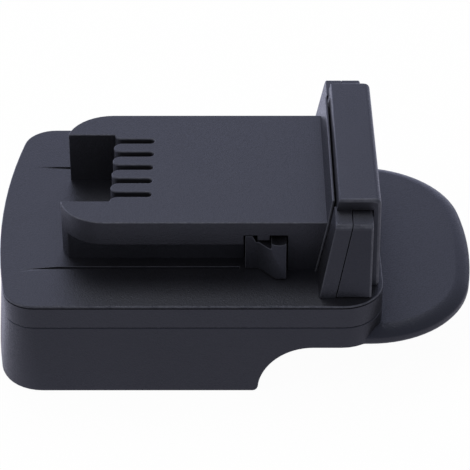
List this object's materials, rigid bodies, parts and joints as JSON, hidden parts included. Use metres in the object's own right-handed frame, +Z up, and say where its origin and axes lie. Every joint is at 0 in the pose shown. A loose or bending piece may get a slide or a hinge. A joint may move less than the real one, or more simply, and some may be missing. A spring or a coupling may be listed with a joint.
{
  "type": "tool battery adapter",
  "caption": "Slide-on battery adapter: toothed T-rail shoe with sprung side latches on top, open pack socket below, rounded pull tab at the back.",
  "frame": {"origin": "middle of the underside of the box around the part", "axes": "+X from the bowed front end to the pull tab, +Y to the right seen from the tab, +Z up"},
  "size_m": [0.12, 0.0788, 0.0483],
  "materials": {
    "housing_plastic": "fine-grained satin black moulding",
    "lower_plastic": "satin black moulding",
    "cap_plastic": "satin black moulding",
    "latch_plastic": "satin black moulding",
    "insulator_plastic": "matt black insulator",
    "contact_brass": "bare stamped brass",
    "board_laminate": "green board lacquer",
    "chip_plastic": "moulded parts",
    "screw_steel": "plated steel",
    "spring_steel": "spring wire",
    "red_lead": "red insulation",
    "black_lead": "black insulation",
    "white_lead": "white insulation"
  },
  "bodies": {
    "housing": {"upper_housing": "housing_plastic", "lower_housing": "lower_plastic", "hump_cap": "cap_plastic", "terminal_holder": "insulator_plastic", "positive_clip": "contact_brass", "negative_clip": "contact_brass", "signal_clips": "contact_brass", "blade_holder": "insulator_plastic", "positive_blade": "contact_brass", "negative_blade": "contact_brass", "signal_blades": "contact_brass", "circuit_board": "board_laminate", "board_parts": "chip_plastic", "board_screws": "screw_steel", "housing_screws": "screw_steel", "cap_screws": "screw_steel", "terminal_screws": "screw_steel", "blade_screws": "screw_steel", "positive_lead": "red_lead", "negative_lead": "black_lead", "signal_leads": "white_lead", "left_spring": "spring_steel", "right_spring": "spring_steel"},
    "left_release": {"left_latch": "latch_plastic"},
    "right_release": {"right_latch": "latch_plastic"}
  },
  "joints": [
    {"name": "left_latch_slide", "type": "slide", "parent": "housing", "child": "left_release", "axis": [0, 1, 0], "range_m": [0, 0.0044], "stiffness_N_per_m": 500, "springref_m": -0.004, "deforming": ["left_spring"]},
    {"name": "right_latch_slide", "type": "slide", "parent": "housing", "child": "right_release", "axis": [0, -1, 0], "range_m": [0, 0.0044], "stiffness_N_per_m": 500, "springref_m": -0.004, "deforming": ["right_spring"]}
  ]
}
